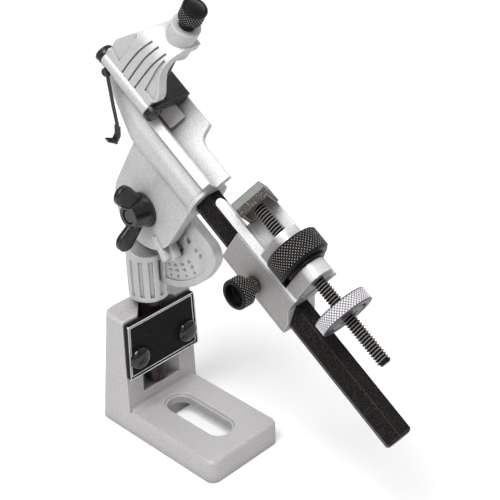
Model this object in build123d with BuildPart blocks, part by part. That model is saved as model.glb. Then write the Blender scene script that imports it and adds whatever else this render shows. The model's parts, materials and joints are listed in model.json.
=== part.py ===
from build123d import *
import os
from math import atan2, cos, radians, sin, sqrt, tan

# Drill grinding attachment, in millimetres. +Z is up, +X runs along the foot away from the wall,
# and the origin lies under the post's axis on the face that the foot rests on.

# ---- fits ----
RUN = 0.05            # radial clearance of a shaft that turns or slides
AIR = 0.3             # gap between pieces that move past each other
SQ2 = sqrt(2)
SQ3 = sqrt(3)

# ---- foot and wall ----
BASE_W = 59.0
FOOT_FRONT = 82.2
BASE_REAR = 26.0      # rear face behind the post's axis, at the ground
FOOT_H = 16.5
FOOT_SKIN = 6.5       # thickness of the foot's top plate
FOOT_RIM = 6.0        # wall round the hollow underside
FOOT_CORNER = 6.0
FOOT_EDGE = 2.4
WALL_FACE = 6.0       # front face ahead of the post's axis
WALL_TOP = 85.4
WALL_LEAN = 1.2       # each side of the wall leans in by this much at its top
WALL_TOP_REAR = 14.5
WALL_CORNER = 8.5
WALL_EDGE = 1.0
ROOT_FILLET = 3.0
SLOT_W = 17.4
SLOT_X0 = 13.7
SLOT_X1 = 66.3
SLOT_STEP = 1.7       # width of the step round the slot
SLOT_STEP_DEPTH = 1.2
GROOVE_FLOOR = 26.5
HOLLOW_CORNER = 3.0   # corner radius of the hollow underside

# ---- post ----
POST_D = 14.3
POST_BOTTOM = 28.0
POST_TOP = 124.0
POST_CHAMFER = 0.8

# ---- clamp plate ----
PLATE_INSET = 0.2     # plate inside the wall on each side
PLATE_Z0 = 43.5
PLATE_Z1 = 83.5
PLATE_T = 2.6
PLATE_CORNER = 1.5
PLATE_RIM = 1.0
PLATE_RIM_H = 0.6
PLATE_SCREW_IN = 9.4  # screws from the foot's sides
PLATE_SCREW_Z = 57.0
PLATE_SCREW_D = 7.0
PLATE_HEAD_D = 15.4
PLATE_HEAD_H = 4.6
PLATE_HEAD_TAPER = 2.6
PLATE_SCREW_DEPTH = 9.0

# ---- bracket ----
SOCKET_D = 25.4
SOCKET_BOTTOM = 91.5
SOCKET_TOP = 130.0
SOCKET_ROUND = 6.0
FLUTE_R = 1.5
FLUTE_COUNT = 12
FLUTE_Z0 = 95.0
FLUTE_Z1 = 121.0
CHEEK_T = 8.0         # thickness of the bracket's upright cheek
CHEEK_R = 20.0
PIVOT_X = 12.2
PIVOT_Z = 159.6
SECTOR_R = 54.6
SECTOR_T = 6.5
SECTOR_TOP = 16.6     # top edge of the sector above the pivot, square to the rod
SECTOR_CORNER = 11.0
SECTOR_RIM = 4.4
SECTOR_TOP_RIM = 8.6  # rim along the sector's top edge
SECTOR_SINK = 1.0     # the marked field lies this far below the rim
FIELD_R = 24.0        # inner edge of the marked field
FIELD_CORNER = 6.0
INDEX_R = 30.4
INDEX_D = 5.0
INDEX_TIP_D = 2.4     # the recesses narrow to this at their bottoms
INDEX_DEPTH = 2.2
INDEX_ZERO = 85.0     # mark that would stand level with the rod
INDEX_MARKS = (88, 68, 59, 49, 41)

# ---- pivot bolt and wing nut ----
BOLT_D = 9.5
BOLT_HEAD_AF = 14.3
BOLT_HEAD_H = 6.2
BOLT_END = 20.8       # from the joint plane to the bolt's end, on the wing nut's side
WASHER_D = 22.0
WASHER_T = 0.9
HUB_D = 20.6
HUB_TOP_D = 14.6
HUB_H = 11.5
WING_T = 5.0
WING_TIP_R = 6.4
WING_TIP_OUT = 15.6   # tip's centre from the bolt's axis
WING_TIP_UP = 14.2    # tip's centre from the hub's base
WING_ROOT_R = 3.0
WING_EDGE = 1.2
WING_TURN = 3.5       # lean of the wings from upright

# ---- head ----
HEAD_TILT = 33.7      # the rod's slope below level
ROD_N = 42.1          # rod axis above the pivot, square to the rod
ROD_AF = 15.875
ROD_START = -22.0
ROD_END = 199.5
ROD_CHAMFER = 1.2
TUBE_D = 25.0
TUBE_T0 = -29.0
TUBE_T1 = 28.4
COLLAR_D = 26.8
COLLAR_T = 2.4
NOSE_T = -67.0
NOSE_D = 11.0
NOSE_N = 49.0
V_N = 55.5            # bottom of the V above the pivot
V_SLAB = 5.2          # thickness of a V wing
V_LEFT = 10.5         # reach of the left wing
V_RIGHT = 13.9        # reach of the right wing at the nose
V_RIGHT_LOW = 6.8     # reach of the right wing at the tail
STEP_T = -2.4         # where the right wing steps down
STEP_RUN = 11.0       # length of the scalloped step
STEP_SLANT = 2.5
LEAF_T = 8.6          # thickness of the head's pivot leaf
LEAF_R = 26.0
LEAF_T0 = -28.0
LEAF_T1 = 26.5
SET_SCREW_D = 6.0
SET_SCREW_T = 12.0
SET_SCREW_TURN = -30.0
STEP_DROP = 4.4       # steep part of the step, across the wing
LUG_T = 25.7          # lug that covers the index holes in turn
LUG_N = -12.0
LUG_W = 9.5
LUG_L = 13.0
LUG_TURN = -27.0
LUG_THICK = 5.6
PLUNGER_D = 3.6
PLUNGER_L = 4.2
FIN_T = 22.6          # raised pointer rib beside the lug
FIN_N = -11.6
FIN_W = 3.8
FIN_L = 17.0
FIN_TURN = -25.0
FIN_THICK = 9.8
SWEEP_R = 35.0        # circle that the lug's outer corners stay inside

# ---- clamp arm ----
HINGE_W = -14.3
HINGE_N = 71.0
HINGE_D = 4.8
BARREL_D = 9.4
BARREL_T0 = -64.6
BARREL_T1 = -24.2
SCREW_T = -37.0
SCREW_D = 7.9
BOSS_D = 17.0
BOSS_TOP = 122.5
BOSS_BOTTOM = 103.0
ARM_T = 5.6
ARM_BEND_N = 97.0
ARM_SKIN = 1.0        # depth of the fields and grooves between the arm's ribs
ARM_GROOVE = 1.2
# the arm's side outline: straight edges at the foot, free curves above them
ARM_REAR_EDGE = ((-24.2, 70.0), (-24.2, 79.2), (-21.8, 81.8))
ARM_REAR_CURVE = ((-21.6, 86.5), (-24.7, 93.2), (-27.4, 100.5), (-28.4, 107.0), (-27.6, 115.0))
ARM_FRONT_CURVE = ((-46.0, 115.0), (-49.4, 111.0), (-52.8, 106.0), (-59.6, 94.5), (-62.9, 88.4))
ARM_FRONT_EDGE = ((-62.8, 80.0), (-64.6, 79.2), (-64.6, 70.0))
# grooves that part the ribs, and the lower fields before and behind them
ARM_GROOVES = (
    ((-49.6, 74.2), (-46.7, 93.8), (-43.1, 107.8)),
    ((-43.6, 74.0), (-41.1, 93.9), (-38.3, 108.3)),
    ((-38.1, 73.7), (-35.0, 95.5), (-32.5, 108.8)),
)
ARM_FRONT_FIELD = ((-54.6, 79.6), (-52.5, 89.3), (-51.6, 103.8), (-66.0, 103.8), (-66.0, 82.6))
ARM_REAR_FIELD = (
    (-31.8, 81.0), (-24.0, 81.0), (-22.8, 86.6), (-25.8, 93.2), (-28.4, 100.5), (-29.4, 106.6),
    (-31.0, 106.6), (-31.2, 94.6),
)

# ---- clamp strap, jaw and screw ----
STRAP_T = 1.8
EAR_T = 2.0
EAR_R = 5.4
STRAP_LEFT = -4.5
STRAP_TOP_LEFT = 76.5
STRAP_RIGHT = 12.2
STRAP_TOP_RIGHT = 75.0
WEB_FOOT_W = 10.9
WEB_FOOT_N = 67.0
JAW_GAP = 2.4         # jaw above the V's right face
JAW_T = 1.6
JAW_T0 = -60.0
JAW_T1 = -14.3
JAW_W0 = -1.0
JAW_W1 = 6.8
RIVET_D = 3.0
RIVET_HEAD_D = 5.0
RIVET_HEAD_H = 1.2
RIVET_T = (-55.0, -31.0)
RIVET_N = 70.6
PIN_HEAD_D = 8.0
PIN_HEAD_H = 3.0
PIN_HEAD_TAPER = 1.6
CLIP_D = 9.0
CLIP_T = 0.9
THUMB_D = 14.6
THUMB_H = 9.5
THUMB_N = 128.0
THUMB_NECK_D = 9.4
THUMB_ROUND = 1.2
THUMB_TIP_N = 76.35
THUMB_TIP_TAPER = 1.6

# ---- lip rest ----
REST_T = -60.5
REST_N = 62.6
REST_BOSS_D = 6.0
REST_BOSS_W = -11.5   # where the boss springs from the V's left wing
REST_W = -14.4
REST_THICK = 1.0
REST_EYE_D = 5.2
REST_LEG_W = 2.2      # narrow leg between the eye and the paddle
REST_PADDLE_W = 4.4
REST_SCREW_D = 3.0
REST_HEAD_D = 5.0
REST_HEAD_H = 1.8
REST_EDGE = 0.6
REST_PATH = ((-47.0, 47.8), (-38.4, 39.0), (-35.6, 34.0), (-35.4, 27.0))

# ---- tail slide ----
FINGER_T0 = 36.7
SLIDE_TOP = 16.0      # top of the block's sides above the rod's axis
SLIDE_T0 = 58.7
SLIDE_V_T0 = 56.5     # its V starts ahead of the block
SLIDE_T1 = 109.0
SLIDE_REAR_SLANT = 5.0
SLIDE_HALF_W = 11.0
SLIDE_LOW = 12.6      # bottom below the rod's axis
SLIDE_ROUND = 7.5
SLIDE_RIGHT = 15.0    # reach of its V to the right
SLIDE_LEFT = 7.0      # reach of its V to the left
FEED_N = 18.0         # feed screw's axis above the bottom of the V
WEB_1 = (76.7, 83.3)
WEB_2 = (99.6, 108.5)
WEB_R = 9.5
NUT_T0 = 83.7
NUT_T1 = 99.2
FEED_NUT_D = 33.2
POCKET_AIR = 0.4      # round the feed nut
FEED_COLLAR_D = 24.0
FEED_COLLAR_T = 1.8
KNURL_CHAMFER = 1.2
TAIL_SCREW_D = 7.94
TAIL_SCREW_T0 = 49.0
TAIL_SCREW_T1 = 165.7
STOP_T0 = 126.2
STOP_T1 = 134.2
STOP_D = 33.3
STOP_GROOVE_D = 24.0
STOP_GROOVE_W = 1.6
STOP_BLOCK = 20.0     # side of the square drill stop, which lies along the V
STOP_FRONT_T = 47.3
STOP_SOLID = 4.6      # depth of its solid front
STOP_SHELL = 1.7      # walls of its hollow rear
STOP_LONG = 10.7      # full length along the lower sides
STOP_SHORT = 9.2      # length at the cut-back top
STOP_EDGE = 0.6
LOCK_T = 84.2
LOCK_D = 7.94
LOCK_TIP_W = -9.3
LOCK_NECK_D = 11.0
LOCK_NECK_W = -12.2
LOCK_HEAD_W = -18.6
LOCK_END_W = -27.6
LOCK_HEAD_D = 18.4
LOCK_CUP_D = 13.2
LOCK_CUP_DEPTH = 5.0

# ---- worked out from the values above ----
POST_R = POST_D / 2
ROD_R = ROD_AF / SQ3
WALL_TOP_W = BASE_W - 2 * WALL_LEAN
PLATE_LOW_W = BASE_W - 2 * PLATE_INSET
PLATE_TOP_W = WALL_TOP_W - 2 * PLATE_INSET
PLATE_SCREW_Y = BASE_W / 2 - PLATE_SCREW_IN
ARM_TOP_N = ARM_BEND_N - HINGE_W
GROOVE_APEX = -(POST_R + RUN) * SQ2
PLATE_X = POST_R + RUN
SCREW_N = V_N + FEED_N
POCKET_D = FEED_NUT_D + 2 * POCKET_AIR
STOP_REAR_T = STOP_FRONT_T + STOP_LONG
BIG = SLIDE_RIGHT + V_SLAB      # a cut this wide clears the whole slide
PIVOT = Vector(PIVOT_X, 0, PIVOT_Z)
A = Vector(cos(radians(HEAD_TILT)), 0, -sin(radians(HEAD_TILT)))
N = Vector(sin(radians(HEAD_TILT)), 0, cos(radians(HEAD_TILT)))
W = Vector(0, 1, 0)


def at(t, w, n):
    """A point of the head: t along the rod, w across, n square to both, from the pivot."""
    return PIVOT + A * t + W * w + N * n


def across(t):
    """Plane square to the rod at t; its x is w and its y is n."""
    return Plane(origin=at(t, 0, 0), x_dir=W, z_dir=A)


def side(w):
    """Plane along the rod at w; its x is t and its y is n. Extrusion runs to -w."""
    return Plane(origin=at(0, w, 0), x_dir=A, z_dir=-W)


def over(n):
    """Plane over the rod at n; its x is t and its y is w. Extrusion runs to +n."""
    return Plane(origin=at(0, 0, n), x_dir=A, z_dir=N)


def cheek_plane(y):
    """Upright plane at y, centred on the pivot. Extrusion runs to -y."""
    return Plane(origin=(PIVOT_X, y, PIVOT_Z), x_dir=(1, 0, 0), z_dir=(0, -1, 0))


def front_plane(x):
    """Upright plane facing +X; its x is +Y and its y is +Z."""
    return Plane(origin=(x, 0, 0), x_dir=(0, 1, 0), z_dir=(1, 0, 0))


def v_wing(reach, slab, turn):
    """Corners of one wing of a V, from its bottom edge; turn is +1 to the right, -1 to the left."""
    drop = slab / SQ2
    return [
        (0, V_N),
        (turn * reach, V_N + reach),
        (turn * (reach + drop), V_N + reach - drop),
        (0, V_N - slab * SQ2),
    ]


set_screw_plane = Plane(
    origin=at(SET_SCREW_T, cos(radians(SET_SCREW_TURN)) * ROD_AF / 2,
              ROD_N + sin(radians(SET_SCREW_TURN)) * ROD_AF / 2),
    x_dir=A,
    z_dir=W * cos(radians(SET_SCREW_TURN)) + N * sin(radians(SET_SCREW_TURN)),
)
SKIN_W = HINGE_W - (ARM_T - ARM_SKIN) / 2
WEB_LEAN = atan2(STRAP_RIGHT - WEB_FOOT_W, STRAP_TOP_RIGHT - WEB_FOOT_N)
PLUNGER_T = INDEX_R * cos(radians(59 - INDEX_ZERO))
PLUNGER_N = INDEX_R * sin(radians(59 - INDEX_ZERO))


def web_plane(t):
    """Plane on the outer face of the strap's web, its z pointing out of the web."""
    w = WEB_FOOT_W + (RIVET_N - WEB_FOOT_N) * tan(WEB_LEAN)
    return Plane(origin=at(t, w, RIVET_N), x_dir=A, z_dir=W * cos(WEB_LEAN) - N * sin(WEB_LEAN))


def save(piece, name):
    piece.part.label = name
    export_step(piece.part, f"parts/{name}.step")


os.makedirs("parts", exist_ok=True)

# ================= base =================
with BuildPart() as base_casting:
    with BuildSketch(Plane.XY):
        with Locations((FOOT_FRONT / 2, 0)):
            Rectangle(FOOT_FRONT, BASE_W)
    extrude(amount=FOOT_H)
    fillet(base_casting.edges().filter_by(Axis.Z).group_by(Axis.X)[-1], FOOT_CORNER)
    fillet(base_casting.faces().sort_by(Axis.Z)[-1].edges().sort_by(Axis.X)[1:], FOOT_EDGE)
    # the wall leans in towards its top
    with BuildSketch(Plane.XY):
        with Locations(((WALL_FACE - BASE_REAR) / 2, 0)):
            Rectangle(WALL_FACE + BASE_REAR, BASE_W)
    with BuildSketch(Plane.XY.offset(WALL_TOP)):
        with Locations(((WALL_FACE - WALL_TOP_REAR) / 2, 0)):
            Rectangle(WALL_FACE + WALL_TOP_REAR, WALL_TOP_W)
    loft()
    rear_face = base_casting.faces().sort_by(Axis.X)[0]
    fillet(rear_face.edges().filter_by(Axis.Y, reverse=True), WALL_CORNER)
    chamfer(base_casting.faces().sort_by(Axis.Z)[-1].edges(), WALL_EDGE)
    # cast fillet where the wall stands on the foot
    with BuildSketch(Plane.XZ.offset(-BASE_W / 2 + FOOT_EDGE)):
        with BuildLine():
            Line((WALL_FACE, FOOT_H + ROOT_FILLET), (WALL_FACE, FOOT_H))
            Line((WALL_FACE, FOOT_H), (WALL_FACE + ROOT_FILLET, FOOT_H))
            RadiusArc(
                (WALL_FACE + ROOT_FILLET, FOOT_H), (WALL_FACE, FOOT_H + ROOT_FILLET), ROOT_FILLET
            )
        make_face()
    extrude(amount=BASE_W - 2 * FOOT_EDGE)
    # hollow under the foot; the wall stands on solid metal
    with BuildSketch(Plane.XY) as hollow:
        with Locations(((FOOT_FRONT + WALL_FACE) / 2, 0)):
            Rectangle(FOOT_FRONT - WALL_FACE - 2 * FOOT_RIM, BASE_W - 2 * FOOT_RIM)
        fillet(hollow.vertices(), HOLLOW_CORNER)
    extrude(amount=FOOT_H - FOOT_SKIN, mode=Mode.SUBTRACT)
    # bolt slot with a shallow step round it
    with BuildSketch(Plane.XY.offset(FOOT_H - SLOT_STEP_DEPTH)):
        with Locations(((SLOT_X0 + SLOT_X1) / 2, 0)):
            SlotOverall(SLOT_X1 - SLOT_X0 + 2 * SLOT_STEP, SLOT_W + 2 * SLOT_STEP)
    extrude(amount=SLOT_STEP_DEPTH, mode=Mode.SUBTRACT)
    with BuildSketch(Plane.XY):
        with Locations(((SLOT_X0 + SLOT_X1) / 2, 0)):
            SlotOverall(SLOT_X1 - SLOT_X0, SLOT_W)
    extrude(amount=FOOT_H, mode=Mode.SUBTRACT)
    # V groove that seats the post, open at the wall's top
    with BuildSketch(Plane.XY.offset(GROOVE_FLOOR)):
        with BuildLine():
            Polyline(
                (GROOVE_APEX, 0),
                (WALL_FACE, WALL_FACE - GROOVE_APEX),
                (WALL_FACE, GROOVE_APEX - WALL_FACE),
                close=True,
            )
        make_face()
    extrude(amount=WALL_TOP, mode=Mode.SUBTRACT)
    # tapped holes for the plate's screws
    with BuildSketch(front_plane(WALL_FACE)):
        with Locations((-PLATE_SCREW_Y, PLATE_SCREW_Z), (PLATE_SCREW_Y, PLATE_SCREW_Z)):
            Circle(PLATE_SCREW_D / 2)
    extrude(amount=-PLATE_SCREW_DEPTH, mode=Mode.SUBTRACT)
save(base_casting, "base_casting")

with BuildPart() as clamp_plate:
    with BuildSketch(front_plane(PLATE_X)) as plate_face:
        with BuildLine():
            Polyline(
                (-PLATE_LOW_W / 2, PLATE_Z0),
                (PLATE_LOW_W / 2, PLATE_Z0),
                (PLATE_TOP_W / 2, PLATE_Z1),
                (-PLATE_TOP_W / 2, PLATE_Z1),
                close=True,
            )
        make_face()
        fillet(plate_face.vertices(), PLATE_CORNER)
    extrude(amount=PLATE_T)
    with BuildSketch(front_plane(PLATE_X + PLATE_T)):
        add(plate_face.sketch_local)
        offset(amount=-PLATE_RIM, mode=Mode.SUBTRACT)
    extrude(amount=PLATE_RIM_H)
    with BuildSketch(front_plane(PLATE_X)):
        with Locations((-PLATE_SCREW_Y, PLATE_SCREW_Z), (PLATE_SCREW_Y, PLATE_SCREW_Z)):
            Circle(PLATE_SCREW_D / 2)
    extrude(amount=PLATE_T, mode=Mode.SUBTRACT)
save(clamp_plate, "clamp_plate")

with BuildPart() as plate_screws:
    with BuildSketch(front_plane(WALL_FACE - PLATE_SCREW_DEPTH)):
        with Locations((-PLATE_SCREW_Y, PLATE_SCREW_Z), (PLATE_SCREW_Y, PLATE_SCREW_Z)):
            Circle(PLATE_SCREW_D / 2)
    extrude(amount=PLATE_X + PLATE_T - WALL_FACE + PLATE_SCREW_DEPTH)
    with BuildSketch(front_plane(PLATE_X + PLATE_T)):
        with Locations((-PLATE_SCREW_Y, PLATE_SCREW_Z), (PLATE_SCREW_Y, PLATE_SCREW_Z)):
            Circle(PLATE_HEAD_D / 2)
    extrude(amount=PLATE_HEAD_H)
    chamfer(plate_screws.faces().group_by(Axis.X)[-1].edges(), PLATE_HEAD_TAPER)
save(plate_screws, "plate_screws")

with BuildPart() as post:
    with BuildSketch(Plane.XY.offset(POST_BOTTOM)):
        Circle(POST_R)
    extrude(amount=POST_TOP - POST_BOTTOM)
    chamfer(post.edges().filter_by(GeomType.CIRCLE), POST_CHAMFER)
save(post, "post")

# ================= bracket =================
with BuildPart() as bracket_casting:
    with BuildSketch(Plane.XY.offset(SOCKET_BOTTOM)):
        Circle(SOCKET_D / 2)
    extrude(amount=SOCKET_TOP - SOCKET_BOTTOM)
    fillet(bracket_casting.faces().sort_by(Axis.Z)[-1].edges(), SOCKET_ROUND)
    chamfer(bracket_casting.faces().sort_by(Axis.Z)[0].edges(), POST_CHAMFER)
    # upright flutes between rounded ribs
    with PolarLocations(SOCKET_D / 2, FLUTE_COUNT):
        with Locations((0, 0, (FLUTE_Z0 + FLUTE_Z1) / 2)):
            Cylinder(FLUTE_R, FLUTE_Z1 - FLUTE_Z0, mode=Mode.SUBTRACT)
    # cheek that rises to the pivot
    with BuildSketch(cheek_plane(CHEEK_T)):
        with BuildLine():
            CenterArc((0, 0), CHEEK_R, 0, 360)
            Polyline(
                (-PIVOT_X - SOCKET_D / 2, SOCKET_TOP - SOCKET_ROUND - PIVOT_Z),
                (-PIVOT_X + SOCKET_D / 2, SOCKET_TOP - SOCKET_ROUND - PIVOT_Z),
            )
        make_hull()
    extrude(amount=CHEEK_T)
    # index sector
    with BuildSketch(cheek_plane(SECTOR_T)) as sector:
        Circle(SECTOR_R)
        with Locations(Rotation(0, 0, -HEAD_TILT)):
            with Locations((0, SECTOR_TOP + SECTOR_R)):
                Rectangle(4 * SECTOR_R, 2 * SECTOR_R, mode=Mode.SUBTRACT)
        with Locations((-SECTOR_R, 0)):
            Rectangle(2 * SECTOR_R, 4 * SECTOR_R, mode=Mode.SUBTRACT)
        fillet(sector.vertices().sort_by(Axis.X)[-1], SECTOR_CORNER)
    extrude(amount=SECTOR_T)
    # marked field, sunk below the sector's rim
    with BuildSketch(cheek_plane(0)) as field:
        Circle(SECTOR_R - SECTOR_RIM)
        Circle(FIELD_R, mode=Mode.SUBTRACT)
        with Locations(Rotation(0, 0, -HEAD_TILT)):
            with Locations((0, SECTOR_TOP - SECTOR_TOP_RIM + SECTOR_R)):
                Rectangle(4 * SECTOR_R, 2 * SECTOR_R, mode=Mode.SUBTRACT)
        with Locations((SECTOR_RIM - SECTOR_R, 0)):
            Rectangle(2 * SECTOR_R, 4 * SECTOR_R, mode=Mode.SUBTRACT)
        fillet(field.vertices().sort_by(Axis.X)[-1], FIELD_CORNER)
    extrude(amount=-SECTOR_SINK, mode=Mode.SUBTRACT)
    # index recesses, narrowing to their bottoms
    for mark in INDEX_MARKS:
        with BuildSketch(cheek_plane(SECTOR_SINK)):
            with PolarLocations(INDEX_R, 1, start_angle=mark - INDEX_ZERO - HEAD_TILT):
                Circle(INDEX_D / 2)
        with BuildSketch(cheek_plane(SECTOR_SINK + INDEX_DEPTH)):
            with PolarLocations(INDEX_R, 1, start_angle=mark - INDEX_ZERO - HEAD_TILT):
                Circle(INDEX_TIP_D / 2)
        loft(mode=Mode.SUBTRACT)
    # relief in the socket's shoulder for the head's lug
    with BuildSketch(cheek_plane(0)):
        Circle(SWEEP_R)
    extrude(amount=SOCKET_D / 2, mode=Mode.SUBTRACT)
    with BuildSketch(cheek_plane(CHEEK_T)):
        Circle(BOLT_D / 2)
    extrude(amount=CHEEK_T, mode=Mode.SUBTRACT)
    with BuildSketch(Plane.XY.offset(SOCKET_BOTTOM)):
        Circle(POST_R + RUN)
    extrude(amount=POST_TOP + AIR - SOCKET_BOTTOM, mode=Mode.SUBTRACT)
save(bracket_casting, "bracket_casting")

LEAF_OUT = -AIR - LEAF_T
NUT_Y = LEAF_OUT - WASHER_T - 2 * RUN

with BuildPart() as pivot_bolt:
    with BuildSketch(cheek_plane(CHEEK_T)):
        Circle(BOLT_D / 2)
    extrude(amount=CHEEK_T + BOLT_END)
    chamfer(pivot_bolt.faces().sort_by(Axis.Y)[0].edges(), POST_CHAMFER)
    with BuildSketch(cheek_plane(CHEEK_T)):
        RegularPolygon(BOLT_HEAD_AF / 2, 6, major_radius=False)
    extrude(amount=-BOLT_HEAD_H)
save(pivot_bolt, "pivot_bolt")

with BuildPart() as pivot_washer:
    with BuildSketch(cheek_plane(LEAF_OUT - RUN)):
        Circle(WASHER_D / 2)
        Circle(BOLT_D / 2, mode=Mode.SUBTRACT)
    extrude(amount=WASHER_T)
save(pivot_washer, "pivot_washer")

WING_AXIS = Vector(sin(radians(WING_TURN)), 0, cos(radians(WING_TURN)))
WING_FACE = Vector(cos(radians(WING_TURN)), 0, -sin(radians(WING_TURN)))
with BuildPart() as wing_nut:
    for turn in (1, -1):
        with BuildSketch(
            Plane(origin=(PIVOT_X, NUT_Y, PIVOT_Z), x_dir=WING_AXIS, z_dir=WING_FACE)
        ):
            with BuildLine():
                CenterArc((turn * WING_TIP_OUT, WING_TIP_UP), WING_TIP_R, 0, 360)
                CenterArc((turn * HUB_TOP_D / 2, WING_ROOT_R), WING_ROOT_R, 0, 360)
                CenterArc((turn * HUB_TOP_D / 2, HUB_H - WING_ROOT_R), WING_ROOT_R, 0, 360)
            make_hull()
        extrude(amount=WING_T / 2, both=True)
    chamfer(wing_nut.faces().filter_by(GeomType.PLANE).edges(), WING_EDGE)
    with BuildSketch(cheek_plane(NUT_Y)):
        Circle(HUB_D / 2)
    with BuildSketch(cheek_plane(NUT_Y - HUB_H)):
        Circle(HUB_TOP_D / 2)
    loft()
    with BuildSketch(cheek_plane(NUT_Y)):
        Circle(BOLT_D / 2 + RUN)
    extrude(amount=HUB_H, mode=Mode.SUBTRACT)
save(wing_nut, "wing_nut")

# ================= head =================
# outer skin of the clamp arm, cut to the fields and grooves between its ribs
with BuildPart() as arm_relief:
    with BuildSketch(across(NOSE_T)):
        with BuildLine():
            Line((SKIN_W, HINGE_N), (SKIN_W, ARM_BEND_N))
            RadiusArc((SKIN_W, ARM_BEND_N), (0, ARM_BEND_N - SKIN_W), -SKIN_W)
        trace(line_width=ARM_SKIN)
    extrude(amount=BARREL_T1 - NOSE_T + ARM_T)
    with BuildSketch(side(ROD_AF)):
        for groove in ARM_GROOVES:
            with BuildLine():
                Spline(*groove)
            trace(line_width=ARM_GROOVE)
        for corners in (ARM_FRONT_FIELD, ARM_REAR_FIELD):
            with BuildLine():
                Polyline(*corners, close=True)
            make_face()
    extrude(amount=4 * ROD_AF, mode=Mode.INTERSECT)

# blank of the clamp arm: a bent wall cut to its side outline
with BuildPart() as arm_blank:
    with BuildSketch(across(NOSE_T)):
        with BuildLine():
            Line((HINGE_W, HINGE_N), (HINGE_W, ARM_BEND_N))
            RadiusArc((HINGE_W, ARM_BEND_N), (0, ARM_TOP_N), -HINGE_W)
            Line((0, ARM_TOP_N), (-HINGE_W / 2, ARM_TOP_N))
        trace(line_width=ARM_T)
    extrude(amount=BARREL_T1 - NOSE_T + ARM_T)
    with BuildSketch(side(ROD_AF)):
        with BuildLine():
            Polyline(*ARM_REAR_EDGE)
            Spline(ARM_REAR_EDGE[-1], *ARM_REAR_CURVE)
            Polyline(ARM_REAR_CURVE[-1], ARM_FRONT_CURVE[0])
            Spline(*ARM_FRONT_CURVE, ARM_FRONT_EDGE[0])
            Polyline(*ARM_FRONT_EDGE, ARM_REAR_EDGE[0])
        make_face()
    extrude(amount=4 * ROD_AF, mode=Mode.INTERSECT)
    add(arm_relief.part, mode=Mode.SUBTRACT)

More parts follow.
